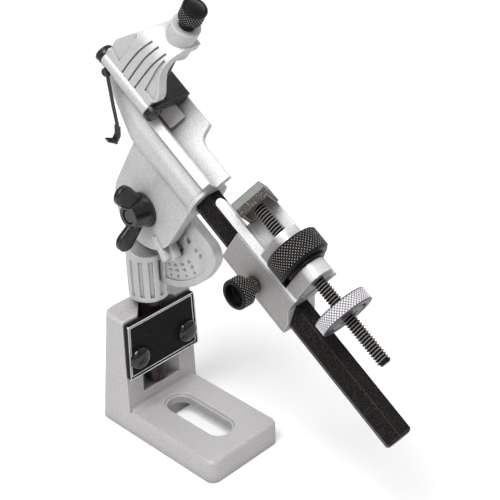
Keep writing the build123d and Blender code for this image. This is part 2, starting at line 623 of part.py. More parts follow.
with BuildPart() as head_casting:
    # tube round the rod, with a collar at the tail end and a tapered nose
    with BuildSketch(across(TUBE_T0)):
        with Locations((0, ROD_N)):
            Circle(TUBE_D / 2)
    extrude(amount=TUBE_T1 - TUBE_T0)
    with BuildSketch(across(TUBE_T1 - COLLAR_T)):
        with Locations((0, ROD_N)):
            Circle(COLLAR_D / 2)
    extrude(amount=COLLAR_T)
    with BuildSketch(across(NOSE_T)):
        with Locations((0, NOSE_N)):
            Circle(NOSE_D / 2)
    with BuildSketch(across(TUBE_T0)):
        with Locations((0, ROD_N)):
            Circle(TUBE_D / 2)
    loft()
    # V trough: the left wing is level along its top
    with BuildSketch(across(NOSE_T)):
        with BuildLine():
            Polyline(*v_wing(V_LEFT, V_SLAB, -1), close=True)
        make_face()
    extrude(amount=TUBE_T1 - NOSE_T)
    # the right wing is high at the nose and drops in a scallop towards the tail
    with BuildSketch(Plane(origin=at(0, 0, V_N), x_dir=A, z_dir=N - W)):
        with BuildLine():
            Polyline(
                (STEP_T + STEP_RUN, V_RIGHT_LOW * SQ2),
                (TUBE_T1, V_RIGHT_LOW * SQ2),
                (TUBE_T1, -V_SLAB),
                (NOSE_T, -V_SLAB),
                (NOSE_T, V_RIGHT * SQ2),
                (STEP_T, V_RIGHT * SQ2),
                (STEP_T + STEP_SLANT, (V_RIGHT - STEP_DROP) * SQ2),
            )
            Spline(
                (STEP_T + STEP_SLANT, (V_RIGHT - STEP_DROP) * SQ2),
                (STEP_T + STEP_RUN, V_RIGHT_LOW * SQ2),
                tangents=((STEP_SLANT, -STEP_DROP * SQ2), (1, 0)),
            )
        make_face()
    extrude(amount=-V_SLAB)
    # barrel on the raised rim, for the strap's hinge pin
    with BuildSketch(across(BARREL_T0)):
        with BuildLine():
            Polyline(
                (-V_LEFT, V_N + V_LEFT),
                (-V_LEFT - V_SLAB / SQ2, V_N + V_LEFT - V_SLAB / SQ2),
                (-V_LEFT - V_SLAB / SQ2, HINGE_N),
                (-V_LEFT, HINGE_N),
                close=True,
            )
        make_face()
        with Locations((HINGE_W, HINGE_N)):
            Circle(BARREL_D / 2)
    extrude(amount=BARREL_T1 - BARREL_T0)
    # arm with the thumbscrew's boss
    add(arm_blank.part)
    with BuildSketch(over(BOSS_BOTTOM)):
        with Locations((SCREW_T, 0)):
            Circle(BOSS_D / 2)
    extrude(amount=BOSS_TOP - BOSS_BOTTOM)
    # leaf that lies against the bracket's sector
    with BuildSketch(side(-AIR)):
        with BuildLine():
            CenterArc((0, 0), LEAF_R, 0, 360)
            Line((LEAF_T0, ROD_N), (LEAF_T1, ROD_N))
        make_hull()
    extrude(amount=LEAF_T)
    # lug over the index holes and the fin beside it
    with BuildSketch(side(-AIR)):
        with Locations((LUG_T, LUG_N)):
            with Locations(Rotation(0, 0, LUG_TURN)):
                RectangleRounded(LUG_L, LUG_W, LUG_W / 4)
    extrude(amount=LUG_THICK)
    with BuildSketch(side(-AIR)):
        with Locations(Pos(FIN_T, FIN_N) * Rotation(0, 0, FIN_TURN)):
            SlotOverall(FIN_L, FIN_W)
    extrude(amount=FIN_THICK)
    # seat of the lip rest
    with BuildSketch(side(REST_BOSS_W)):
        with Locations((REST_T, REST_N)):
            Circle(REST_BOSS_D / 2)
    extrude(amount=REST_BOSS_W - REST_W)
    # bores
    with BuildSketch(across(ROD_START)):
        with Locations((0, ROD_N)):
            RegularPolygon(ROD_AF / 2, 6, major_radius=False)
    extrude(amount=TUBE_T1 - ROD_START, mode=Mode.SUBTRACT)
    with BuildSketch(side(-AIR)):
        Circle(BOLT_D / 2 + RUN)
    extrude(amount=LEAF_T, mode=Mode.SUBTRACT)
    with BuildSketch(across(BARREL_T0)):
        with Locations((HINGE_W, HINGE_N)):
            Circle(HINGE_D / 2)
    extrude(amount=BARREL_T1 - BARREL_T0, mode=Mode.SUBTRACT)
    with BuildSketch(over(BOSS_BOTTOM - ARM_T)):
        with Locations((SCREW_T, 0)):
            Circle(SCREW_D / 2 + RUN)
    extrude(amount=BOSS_TOP - BOSS_BOTTOM + ARM_T, mode=Mode.SUBTRACT)
    with BuildSketch(side(-ROD_R)):
        with Locations((REST_T, REST_N)):
            Circle(REST_SCREW_D / 2)
    extrude(amount=-REST_W - ROD_R, mode=Mode.SUBTRACT)
    with BuildSketch(set_screw_plane):
        Circle(SET_SCREW_D / 2)
    extrude(amount=TUBE_D / 2, mode=Mode.SUBTRACT)
    with BuildSketch(side(-AIR)):
        with Locations((PLUNGER_T, PLUNGER_N)):
            Circle(PLUNGER_D / 2)
    extrude(amount=PLUNGER_L, mode=Mode.SUBTRACT)
save(head_casting, "head_casting")

with BuildPart() as hex_rod:
    with BuildSketch(across(ROD_START)):
        with Locations((0, ROD_N)):
            RegularPolygon(ROD_AF / 2, 6, major_radius=False)
    extrude(amount=ROD_END - ROD_START)
    chamfer(hex_rod.faces().sort_by(Axis(PIVOT, A))[-1].edges(), ROD_CHAMFER)
save(hex_rod, "hex_rod")

with BuildPart() as rod_set_screw:
    with BuildSketch(set_screw_plane):
        Circle(SET_SCREW_D / 2)
    extrude(amount=TUBE_D / 2 - ROD_AF / 2 - AIR)
    with BuildSketch(set_screw_plane.offset(TUBE_D / 2 - ROD_AF / 2 - AIR)):
        RegularPolygon(SET_SCREW_D / 4, 6, major_radius=False)
    extrude(amount=-SET_SCREW_D / 3, mode=Mode.SUBTRACT)
save(rod_set_screw, "rod_set_screw")

with BuildPart() as index_plunger:
    with BuildSketch(side(-AIR)):
        with Locations((PLUNGER_T, PLUNGER_N)):
            Circle(PLUNGER_D / 2)
    extrude(amount=PLUNGER_L)
    chamfer(index_plunger.faces().sort_by(Axis.Y)[-1].edges(), PLUNGER_D / 4)
save(index_plunger, "index_plunger")

# ================= clamp =================
with BuildPart() as clamp_strap:
    # pressed sheet with a turned-down web
    with BuildSketch(across(BARREL_T0 - AIR)):
        with BuildLine():
            Polyline(
                (STRAP_LEFT, STRAP_TOP_LEFT),
                (STRAP_RIGHT, STRAP_TOP_RIGHT),
                (WEB_FOOT_W, WEB_FOOT_N),
                (WEB_FOOT_W - STRAP_T, WEB_FOOT_N),
                (STRAP_RIGHT - STRAP_T, STRAP_TOP_RIGHT - STRAP_T),
                (STRAP_LEFT, STRAP_TOP_LEFT - STRAP_T),
                close=True,
            )
        make_face()
    extrude(amount=BARREL_T1 - BARREL_T0 + 2 * AIR)
    # ears at both ends of the barrel
    for start in (BARREL_T0 - AIR - EAR_T, BARREL_T1 + AIR):
        with BuildSketch(across(start)):
            with Locations((HINGE_W, HINGE_N)):
                Circle(EAR_R)
            with BuildLine():
                Polyline(
                    (HINGE_W, HINGE_N + EAR_R),
                    (STRAP_LEFT, STRAP_TOP_LEFT),
                    (STRAP_RIGHT, STRAP_TOP_RIGHT),
                    (WEB_FOOT_W, WEB_FOOT_N),
                    (WEB_FOOT_W - STRAP_T, WEB_FOOT_N),
                    (WEB_FOOT_W - STRAP_T, HINGE_N - STRAP_T),
                    (HINGE_W + EAR_R, HINGE_N - STRAP_T / 2),
                    (HINGE_W, HINGE_N),
                    close=True,
                )
            make_face()
            with Locations((HINGE_W, HINGE_N)):
                Circle(HINGE_D / 2 + RUN, mode=Mode.SUBTRACT)
        extrude(amount=EAR_T)
    for rivet_t in RIVET_T:
        with BuildSketch(web_plane(rivet_t)):
            Circle(RIVET_D / 2)
        extrude(amount=-2 * STRAP_T, mode=Mode.SUBTRACT)
save(clamp_strap, "clamp_strap")

with BuildPart() as clamp_jaw:
    # plate parallel to the V's right face
    with BuildSketch(across(JAW_T0)):
        with BuildLine():
            Polyline(
                (JAW_W0, V_N + JAW_W0 + JAW_GAP * SQ2),
                (JAW_W1, V_N + JAW_W1 + JAW_GAP * SQ2),
                (JAW_W1 - JAW_T / SQ2, V_N + JAW_W1 + (JAW_GAP + JAW_T / 2) * SQ2),
                (JAW_W0 - JAW_T / SQ2, V_N + JAW_W0 + (JAW_GAP + JAW_T / 2) * SQ2),
                close=True,
            )
        make_face()
    extrude(amount=JAW_T1 - JAW_T0)
    # flange against the strap's web
    with BuildSketch(across(BARREL_T0 + JAW_T)):
        with BuildLine():
            Polyline(
                (JAW_W1 - JAW_T, V_N + JAW_W1 - JAW_T + JAW_GAP * SQ2),
                (WEB_FOOT_W - STRAP_T, V_N + WEB_FOOT_W - STRAP_T + JAW_GAP * SQ2),
                (STRAP_RIGHT - STRAP_T, STRAP_TOP_RIGHT - STRAP_T),
                (STRAP_RIGHT - STRAP_T - JAW_T, STRAP_TOP_RIGHT - STRAP_T),
                (WEB_FOOT_W - STRAP_T - JAW_T, V_N + WEB_FOOT_W - STRAP_T + JAW_GAP * SQ2 + AIR),
                close=True,
            )
        make_face()
    extrude(amount=BARREL_T1 - BARREL_T0 - 2 * JAW_T)
    for rivet_t in RIVET_T:
        with BuildSketch(web_plane(rivet_t)):
            Circle(RIVET_D / 2)
        extrude(amount=-2 * STRAP_T - JAW_T, mode=Mode.SUBTRACT)
save(clamp_jaw, "clamp_jaw")

with BuildPart() as jaw_rivets:
    for rivet_t in RIVET_T:
        with BuildSketch(web_plane(rivet_t)):
            Circle(RIVET_HEAD_D / 2)
        extrude(amount=RIVET_HEAD_H)
        with BuildSketch(web_plane(rivet_t)):
            Circle(RIVET_D / 2)
        extrude(amount=-STRAP_T - JAW_T)
save(jaw_rivets, "jaw_rivets")

EAR_END_T = BARREL_T1 + AIR + EAR_T
CLIP_END_T = BARREL_T0 - AIR - EAR_T
with BuildPart() as hinge_pin:
    with BuildSketch(across(CLIP_END_T - 3 * CLIP_T)):
        with Locations((HINGE_W, HINGE_N)):
            Circle(HINGE_D / 2)
    extrude(amount=EAR_END_T + RUN - CLIP_END_T + 3 * CLIP_T)
    with BuildSketch(across(EAR_END_T + RUN)):
        with Locations((HINGE_W, HINGE_N)):
            Circle(PIN_HEAD_D / 2)
    extrude(amount=PIN_HEAD_H)
    chamfer(hinge_pin.faces().sort_by(Axis(PIVOT, A))[-1].edges(), PIN_HEAD_TAPER)
    # groove that the clip sits in
    with BuildSketch(across(CLIP_END_T - RUN - CLIP_T)):
        with Locations((HINGE_W, HINGE_N)):
            Circle(HINGE_D / 2)
            Circle(HINGE_D / 2 - CLIP_T / 2, mode=Mode.SUBTRACT)
    extrude(amount=CLIP_T, mode=Mode.SUBTRACT)
save(hinge_pin, "hinge_pin")

with BuildPart() as hinge_clip:
    with BuildSketch(across(CLIP_END_T - RUN - CLIP_T)):
        with Locations((HINGE_W, HINGE_N)):
            Circle(CLIP_D / 2)
            Circle(HINGE_D / 2 - CLIP_T / 2, mode=Mode.SUBTRACT)
        with Locations((HINGE_W - CLIP_D / 2, HINGE_N)):
            Rectangle(CLIP_D, HINGE_D - 2 * CLIP_T, mode=Mode.SUBTRACT)
    extrude(amount=CLIP_T)
save(hinge_clip, "hinge_clip")

with BuildPart() as clamp_screw:
    with BuildSketch(over(THUMB_TIP_N)):
        with Locations((SCREW_T, 0)):
            Circle(SCREW_D / 2)
    extrude(amount=THUMB_N - THUMB_TIP_N)
    chamfer(clamp_screw.faces().sort_by(Axis(PIVOT, N))[0].edges(), THUMB_TIP_TAPER)
    with BuildSketch(over(BOSS_TOP + AIR)):
        with Locations((SCREW_T, 0)):
            Circle(THUMB_NECK_D / 2)
    extrude(amount=THUMB_N - BOSS_TOP - AIR)
    with BuildSketch(over(THUMB_N)):
        with Locations((SCREW_T, 0)):
            Circle(THUMB_D / 2)
    extrude(amount=THUMB_H)
    chamfer(clamp_screw.faces().sort_by(Axis(PIVOT, N))[-1].edges(), THUMB_ROUND)
    with BuildSketch(over(THUMB_N)):
        with Locations((SCREW_T, 0)):
            Circle(THUMB_D / 2)
            Circle(THUMB_D / 2 - THUMB_ROUND, mode=Mode.SUBTRACT)
    extrude(amount=THUMB_ROUND / 2, mode=Mode.SUBTRACT)
save(clamp_screw, "clamp_screw")

# ================= lip rest =================
with BuildPart() as lip_rest:
    # eye, narrow leg and broad paddle
    with BuildSketch(side(REST_W - RUN)):
        with BuildLine():
            Polyline((REST_T, REST_N), *REST_PATH[:2])
        trace(line_width=REST_LEG_W)
        with BuildLine():
            Polyline(*REST_PATH[1:])
        trace(line_width=REST_PADDLE_W)
        with Locations((REST_T, REST_N)):
            Circle(REST_EYE_D / 2)
            Circle(REST_SCREW_D / 2 + RUN, mode=Mode.SUBTRACT)
    extrude(amount=REST_THICK)
    # toe turned outward
    with BuildSketch(over(REST_PATH[-1][1])):
        with BuildLine():
            Polyline(
                (REST_PATH[-1][0] - REST_PADDLE_W / 2, REST_W - RUN),
                (REST_PATH[-1][0] + REST_PADDLE_W / 2, REST_W - RUN),
                (REST_PATH[-1][0] - REST_PADDLE_W / 4, REST_W - REST_PADDLE_W),
                (REST_PATH[-1][0] - REST_PADDLE_W, REST_W - REST_PADDLE_W),
                close=True,
            )
        make_face()
    extrude(amount=REST_THICK)
save(lip_rest, "lip_rest")

with BuildPart() as lip_rest_screw:
    with BuildSketch(side(-ROD_R)):
        with Locations((REST_T, REST_N)):
            Circle(REST_SCREW_D / 2)
    extrude(amount=-REST_W - ROD_R + REST_THICK + 2 * RUN)
    with BuildSketch(side(REST_W - REST_THICK - 2 * RUN)):
        with Locations((REST_T, REST_N)):
            Circle(REST_HEAD_D / 2)
    extrude(amount=REST_HEAD_H)
    chamfer(lip_rest_screw.faces().sort_by(Axis.Y)[0].edges(), REST_EDGE)
save(lip_rest_screw, "lip_rest_screw")

# ================= tail slide =================
with BuildPart() as tail_slide:
    # block round the rod
    with BuildSketch(across(SLIDE_T0)) as block:
        with Locations((0, ROD_N + (SLIDE_TOP - SLIDE_LOW) / 2)):
            Rectangle(2 * SLIDE_HALF_W, SLIDE_TOP + SLIDE_LOW)
        fillet(block.vertices().group_by(Axis.Y)[0], SLIDE_ROUND)
        with BuildLine():
            Polyline(*v_wing(SLIDE_RIGHT, V_SLAB, 1), close=True)
        make_face()
        with BuildLine():
            Polyline(*v_wing(SLIDE_LEFT, V_SLAB, -1), close=True)
        make_face()
        with BuildLine():
            Polyline((0, V_N), (BIG, V_N + BIG), (-BIG, V_N + BIG), close=True)
        make_face(mode=Mode.SUBTRACT)
    extrude(amount=SLIDE_T1 + SLIDE_REAR_SLANT - SLIDE_T0)
    # front end of the V
    with BuildSketch(across(SLIDE_V_T0)):
        with BuildLine():
            Polyline(*v_wing(SLIDE_RIGHT, V_SLAB, 1), close=True)
        make_face()
        with BuildLine():
            Polyline(*v_wing(SLIDE_LEFT, V_SLAB, -1), close=True)
        make_face()
    extrude(amount=SLIDE_T0 - SLIDE_V_T0)
    # finger: the left wing alone reaches forward, with a round end
    with BuildSketch(
        Plane(origin=at(0, -SLIDE_LEFT, V_N + SLIDE_LEFT), x_dir=A, z_dir=W - N)
    ):
        with Locations(((FINGER_T0 + SLIDE_T0) / 2, V_SLAB / 2)):
            SlotOverall(SLIDE_T0 - FINGER_T0, V_SLAB)
        with Locations((SLIDE_T0 - V_SLAB / 2, V_SLAB / 2)):
            Rectangle(V_SLAB, V_SLAB)
    extrude(amount=SLIDE_LEFT * SQ2)
    # webs that carry the feed screw on both sides of the nut
    for start, end in (WEB_1, WEB_2):
        with BuildSketch(across(start)):
            with Locations((0, SCREW_N)):
                Circle(WEB_R)
            with Locations((0, (V_N + SCREW_N) / 2)):
                Rectangle(2 * WEB_R, SCREW_N - V_N)
        extrude(amount=end - start)
    # slanted rear end
    with BuildSketch(side(2 * SLIDE_HALF_W)):
        with BuildLine():
            Polyline(
                (SLIDE_T1, V_N + BIG),
                (SLIDE_T1, ROD_N + ROD_AF / 2),
                (SLIDE_T1 + SLIDE_REAR_SLANT, ROD_N),
                (SLIDE_T1 + SLIDE_REAR_SLANT, V_N + BIG),
                close=True,
            )
        make_face()
    extrude(amount=4 * SLIDE_HALF_W, mode=Mode.SUBTRACT)
    # pocket of the feed nut
    with BuildSketch(across(WEB_1[1])):
        with Locations((0, SCREW_N)):
            Circle(POCKET_D / 2)
    extrude(amount=WEB_2[0] - WEB_1[1], mode=Mode.SUBTRACT)
    # bores
    with BuildSketch(across(WEB_1[0])):
        with Locations((0, SCREW_N)):
            Circle(TAIL_SCREW_D / 2 + RUN)
    extrude(amount=WEB_2[1] - WEB_1[0], mode=Mode.SUBTRACT)
    with BuildSketch(across(SLIDE_V_T0)):
        with Locations((0, ROD_N)):
            RegularPolygon(ROD_AF / 2 + RUN, 6, major_radius=False)
    extrude(amount=SLIDE_T1 + SLIDE_REAR_SLANT - SLIDE_V_T0, mode=Mode.SUBTRACT)
    with BuildSketch(side(-ROD_R)):
        with Locations((LOCK_T, ROD_N)):
            Circle(LOCK_D / 2 + RUN)
    extrude(amount=SLIDE_HALF_W, mode=Mode.SUBTRACT)
save(tail_slide, "tail_slide")

with BuildPart() as slide_lock_screw:
    with BuildSketch(side(LOCK_TIP_W)):
        with Locations((LOCK_T, ROD_N)):
            Circle(LOCK_D / 2)
    extrude(amount=LOCK_TIP_W - LOCK_HEAD_W)
    with BuildSketch(side(LOCK_NECK_W)):
        with Locations((LOCK_T, ROD_N)):
            Circle(LOCK_NECK_D / 2)
    extrude(amount=LOCK_NECK_W - LOCK_HEAD_W)
    with BuildSketch(side(LOCK_HEAD_W)):
        with Locations((LOCK_T, ROD_N)):
            Circle(LOCK_HEAD_D / 2)
    extrude(amount=LOCK_HEAD_W - LOCK_END_W)
    chamfer(slide_lock_screw.faces().sort_by(Axis.Y)[0].edges(), KNURL_CHAMFER)
    with BuildSketch(side(LOCK_END_W)):
        with Locations((LOCK_T, ROD_N)):
            Circle(LOCK_CUP_D / 2)
    extrude(amount=-LOCK_CUP_DEPTH, mode=Mode.SUBTRACT)
save(slide_lock_screw, "slide_lock_screw")

with BuildPart() as feed_nut:
    with BuildSketch(across(NUT_T0)):
        with Locations((0, SCREW_N)):
            Circle(FEED_NUT_D / 2)
    extrude(amount=NUT_T1 - NUT_T0 - FEED_COLLAR_T)
    chamfer(feed_nut.edges().filter_by(GeomType.CIRCLE), KNURL_CHAMFER)
    with BuildSketch(across(NUT_T1 - FEED_COLLAR_T)):
        with Locations((0, SCREW_N)):
            Circle(FEED_COLLAR_D / 2)
    extrude(amount=FEED_COLLAR_T)
    with BuildSketch(across(NUT_T0)):
        with Locations((0, SCREW_N)):
            Circle(TAIL_SCREW_D / 2 + RUN)
    extrude(amount=NUT_T1 - NUT_T0, mode=Mode.SUBTRACT)
save(feed_nut, "feed_nut")

with BuildPart() as tail_screw:
    with BuildSketch(across(TAIL_SCREW_T0)):
        with Locations((0, SCREW_N)):
            Circle(TAIL_SCREW_D / 2)
    extrude(amount=TAIL_SCREW_T1 - TAIL_SCREW_T0)
    chamfer(tail_screw.faces().sort_by(Axis(PIVOT, A))[-1].edges(), KNURL_CHAMFER)
save(tail_screw, "tail_screw")

with BuildPart() as drill_stop:
    with BuildSketch(across(STOP_FRONT_T)):
        with Locations((0, SCREW_N)):
            Rectangle(STOP_BLOCK, STOP_BLOCK, rotation=45)
    extrude(amount=STOP_LONG)
    chamfer(drill_stop.faces().sort_by(Axis(PIVOT, A))[0].edges(), STOP_EDGE)
    # hollow rear
    with BuildSketch(across(STOP_FRONT_T + STOP_SOLID)):
        with Locations((0, SCREW_N)):
            Rectangle(STOP_BLOCK - 2 * STOP_SHELL, STOP_BLOCK - 2 * STOP_SHELL, rotation=45)
    extrude(amount=STOP_LONG - STOP_SOLID, mode=Mode.SUBTRACT)
    # the rear end leans forward towards its upper left side
    with BuildSketch(
        Plane(origin=at(0, 0, SCREW_N), x_dir=A, z_dir=-N - W)
    ):
        with BuildLine():
            Polyline(
                (STOP_REAR_T, -STOP_BLOCK / 4),
                (STOP_FRONT_T + STOP_SHORT, STOP_BLOCK / 2),
                (STOP_REAR_T, STOP_BLOCK / 2),
                close=True,
            )
        make_face()
    extrude(amount=STOP_BLOCK, both=True, mode=Mode.SUBTRACT)
    # hole of the feed screw
    with BuildSketch(across(TAIL_SCREW_T0)):
        with Locations((0, SCREW_N)):
            Circle(TAIL_SCREW_D / 2)
    extrude(amount=STOP_FRONT_T + STOP_SOLID - TAIL_SCREW_T0, mode=Mode.SUBTRACT)
save(drill_stop, "drill_stop")

with BuildPart() as stop_nut:
    with BuildSketch(across(STOP_T0)):
        with Locations((0, SCREW_N)):
            Circle(STOP_D / 2)
    extrude(amount=STOP_T1 - STOP_T0)
    chamfer(stop_nut.edges().filter_by(GeomType.CIRCLE), KNURL_CHAMFER / 2)
    with BuildSketch(across(STOP_T1)):
        with Locations((0, SCREW_N)):
            Circle(STOP_GROOVE_D / 2)
            Circle(STOP_GROOVE_D / 2 - STOP_GROOVE_W, mode=Mode.SUBTRACT)
    extrude(amount=-STOP_GROOVE_W, mode=Mode.SUBTRACT)
    with BuildSketch(across(STOP_T0)):
        with Locations((0, SCREW_N)):
            Circle(TAIL_SCREW_D / 2 + RUN)
    extrude(amount=STOP_T1 - STOP_T0, mode=Mode.SUBTRACT)
save(stop_nut, "stop_nut")
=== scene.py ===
import json
from math import cos, pi, radians, sin

import bpy
from mathutils import Matrix, Vector


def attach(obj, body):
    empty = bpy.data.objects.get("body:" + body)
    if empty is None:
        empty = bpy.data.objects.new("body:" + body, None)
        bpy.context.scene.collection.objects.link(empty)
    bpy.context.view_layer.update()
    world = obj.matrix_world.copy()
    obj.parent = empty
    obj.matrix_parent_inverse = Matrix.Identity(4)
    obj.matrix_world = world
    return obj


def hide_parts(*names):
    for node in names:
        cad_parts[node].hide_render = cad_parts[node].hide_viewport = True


# Looks of the drill grinding attachment, in the frame of the solids. The scene is in metres.
# Sizes are written in millimetres, as in the solids, and MM turns them into metres.
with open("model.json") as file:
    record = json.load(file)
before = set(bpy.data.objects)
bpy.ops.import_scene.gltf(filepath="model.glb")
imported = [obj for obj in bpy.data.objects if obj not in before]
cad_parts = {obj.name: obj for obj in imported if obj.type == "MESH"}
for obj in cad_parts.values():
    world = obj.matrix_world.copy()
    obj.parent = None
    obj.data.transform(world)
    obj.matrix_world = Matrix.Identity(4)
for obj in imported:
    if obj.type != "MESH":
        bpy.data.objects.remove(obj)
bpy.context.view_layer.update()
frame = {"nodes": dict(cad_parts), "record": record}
nodes = frame["nodes"]
MM = 0.001

# ---- sizes shared by more than one piece ----
FEED_N = 73.5         # feed screw's axis above the pivot, square to the rod
SCREW_R = 3.97        # feed screw
BORE_R = 4.1          # bores of the nuts on it
PITCH = 1.8143
THREAD_DEPTH = 0.95
THREAD_STEP = PITCH / 9
KNURL_STEP = 0.22     # rows of a knurled band
STOP_SOLID_T = 51.9   # rear of the drill stop's solid front
STOP_INSIDE = (8.9, 9.3)   # where its pale inside fades in, from the screw's axis
PLATE_X = 9.8         # front of the name plate

# ---- the head's own directions: t along the rod, w across, n square to both, from the pivot ----
TILT = radians(33.7)
PIVOT = Vector((12.2, 0, 159.6)) * MM
T_DIR = Vector((cos(TILT), 0, -sin(TILT)))
W_DIR = Vector((0, 1, 0))
N_DIR = Vector((sin(TILT), 0, cos(TILT)))


def at(t, w, n):
    """A point of the head, from millimetres."""
    return PIVOT + (T_DIR * t + W_DIR * w + N_DIR * n) * MM


# ================= materials =================
def link(tree, a, b):
    tree.links.new(a, b)


def noise(tree, coords, scale, detail=3.0, rough=0.55):
    node = tree.nodes.new("ShaderNodeTexNoise")
    node.inputs["Scale"].default_value = scale
    node.inputs["Detail"].default_value = detail
    node.inputs["Roughness"].default_value = rough
    link(tree, coords, node.inputs["Vector"])
    return node.outputs["Fac"]


def span(tree, value, low, high, to_low, to_high):
    node = tree.nodes.new("ShaderNodeMapRange")
    node.inputs["From Min"].default_value = low
    node.inputs["From Max"].default_value = high
    node.inputs["To Min"].default_value = to_low
    node.inputs["To Max"].default_value = to_high
    link(tree, value, node.inputs["Value"])
    return node.outputs["Result"]


def mix(tree, factor, a, b):
    """Colour a where factor is 0 and b where it is 1; each is a colour or a socket."""
    node = tree.nodes.new("ShaderNodeMix")
    node.data_type = "RGBA"
    link(tree, factor, node.inputs["Factor"])
    for value, place in ((a, "A"), (b, "B")):
        socket = [s for s in node.inputs if s.name == place and s.type == "RGBA"][0]
        if isinstance(value, tuple):
            socket.default_value = (*value, 1)
        else:
            link(tree, value, socket)
    return [s for s in node.outputs if s.type == "RGBA"][0]


def nearness(tree, vector, direction, start, low, high):
    """0 to 1 as the vector's part along a direction, less start, goes from low to high."""
    node = tree.nodes.new("ShaderNodeVectorMath")
    node.operation = "DOT_PRODUCT"
    node.inputs[1].default_value = direction
    link(tree, vector, node.inputs[0])
    return span(tree, node.outputs["Value"], start + low, start + high, 0.0, 1.0)


def surface(
    name, colour, rough, metallic,
    tone=0.07, tone_scale=60, grain=0.05, grain_scale=1400, speck=None, speck_scale=900,
    speck_share=0.3, bump=0.12, bump_scale=1800, coat=0.0, lit_peak=None, lit_peak_heights=(0.62, 0.95),
    specular=0.5, stretch=(1, 1, 1), edge=0.0, rim=None, corner_shade=0.0, corner_shade_reach=5.0,
    top=None, top_rough=None,
):
    """A metal or paint with broad tone, fine grain, specks and bump.

    crest is the colour of the peaks of knurls and threads, and worn the heights over which it
    fades in: a painted highlight on black pieces, and on pale zinc the dark below is painted
    shade in the grooves. top is the colour of faces that look along the head's upper side,
    partly a brighter machined finish and partly painted light from above, and top_rough their
    roughness. edge is the radius in millimetres to which edges are eased, and rim the colour of
    those edges: painted highlight and wear where lighter, painted shade where darker. grime is
    painted shade in the corners, over corner_shade_reach millimetres.
    """
    material = bpy.data.materials.new(name)
    material.use_nodes = True
    tree = material.node_tree
    shader = tree.nodes["Principled BSDF"]
    place = tree.nodes.new("ShaderNodeTexCoord")
    scaled = tree.nodes.new("ShaderNodeMapping")
    scaled.inputs["Scale"].default_value = stretch
    link(tree, place.outputs["Object"], scaled.inputs["Vector"])
    coords = scaled.outputs["Vector"]
    dark = tuple(c * (1 - tone) for c in colour)
    light = tuple(min(1.0, c * (1 + tone)) for c in colour)
    result = mix(tree, noise(tree, coords, tone_scale), dark, light)
    smears = noise(tree, coords, tone_scale * 9)
    roughness = span(tree, smears, 0.3, 0.7, rough * 0.85, min(1.0, rough * 1.2))
    # faces that look along the head's upper side take the top colour: partly a brighter machined
    # finish, partly painted light from above
    if top:
        upper = nearness(tree, place.outputs["Normal"], N_DIR, 0, 0.35, 0.6)
        result = mix(tree, upper, result, top)
        polished = tree.nodes.new("ShaderNodeMix")
        link(tree, upper, polished.inputs["Factor"])
        link(tree, roughness, polished.inputs["A"])
        polished.inputs["B"].default_value = top_rough
        roughness = polished.outputs["Result"]
    low = tuple(c * 0.35 for c in colour)
    high = tuple(min(1.0, c * 1.5 + 0.03) for c in colour)
    pits = span(tree, noise(tree, coords, grain_scale, 2.0), 0.35, 0.6, grain * 2, 0.0)
    result = mix(tree, pits, result, low)
    glints = span(tree, noise(tree, coords, grain_scale * 1.3, 2.0), 0.5, 0.7, 0.0, grain * 2)
    result = mix(tree, glints, result, high)
    if speck:
        speckle = noise(tree, coords, speck_scale, 1.0)
        spots = span(tree, speckle, 0.5 + speck_share, 0.53 + speck_share, 0, 1)
        result = mix(tree, spots, result, speck)
    # peaks of knurls and threads take the crest colour: painted highlight on black pieces, and on
    # pale zinc the dark between them is painted shade in the grooves
    if lit_peak:
        attribute = tree.nodes.new("ShaderNodeAttribute")
        attribute.attribute_name = "lit_peak"
        peaks = span(tree, attribute.outputs["Fac"], *lit_peak_heights, 0.0, 1.0)
        result = mix(tree, peaks, result, lit_peak)
    if edge:
        eased = tree.nodes.new("ShaderNodeBevel")
        eased.samples = 4
        eased.inputs["Radius"].default_value = edge * MM
    # rim colour painted along eased edges: painted highlight and wear where lighter than the surface,
    # painted shade where darker
    if rim:
        flat = tree.nodes.new("ShaderNodeVectorMath")
        flat.operation = "DOT_PRODUCT"
        link(tree, eased.outputs["Normal"], flat.inputs[0])
        link(tree, tree.nodes.new("ShaderNodeNewGeometry").outputs["Normal"], flat.inputs[1])
        edge_light_and_wear = span(tree, flat.outputs["Value"], 0.93, 0.995, 0.8, 0.0)
        result = mix(tree, edge_light_and_wear, result, rim)
    # painted shade: corners and hollows darkened by ambient occlusion, towards 0.12 of the colour
    if corner_shade:
        corner = tree.nodes.new("ShaderNodeAmbientOcclusion")
        corner.samples = 6
        corner.inputs["Distance"].default_value = corner_shade_reach * MM
        painted_corner_shade = span(tree, corner.outputs["AO"], 0.25, 0.85, corner_shade, 0.0)
        result = mix(tree, painted_corner_shade, result, tuple(c * 0.12 for c in colour))
    link(tree, result, shader.inputs["Base Color"])
    shader.inputs["Metallic"].default_value = metallic
    shader.inputs["Specular IOR Level"].default_value = specular
    link(tree, roughness, shader.inputs["Roughness"])
    shader.inputs["Coat Weight"].default_value = coat
    shader.inputs["Coat Roughness"].default_value = 0.12
    relief = tree.nodes.new("ShaderNodeBump")
    relief.inputs["Strength"].default_value = bump
    relief.inputs["Distance"].default_value = 0.0002
    link(tree, noise(tree, coords, bump_scale, 2.0), relief.inputs["Height"])
    if edge:
        link(tree, eased.outputs["Normal"], relief.inputs["Normal"])
    link(tree, relief.outputs["Normal"], shader.inputs["Normal"])
    return material


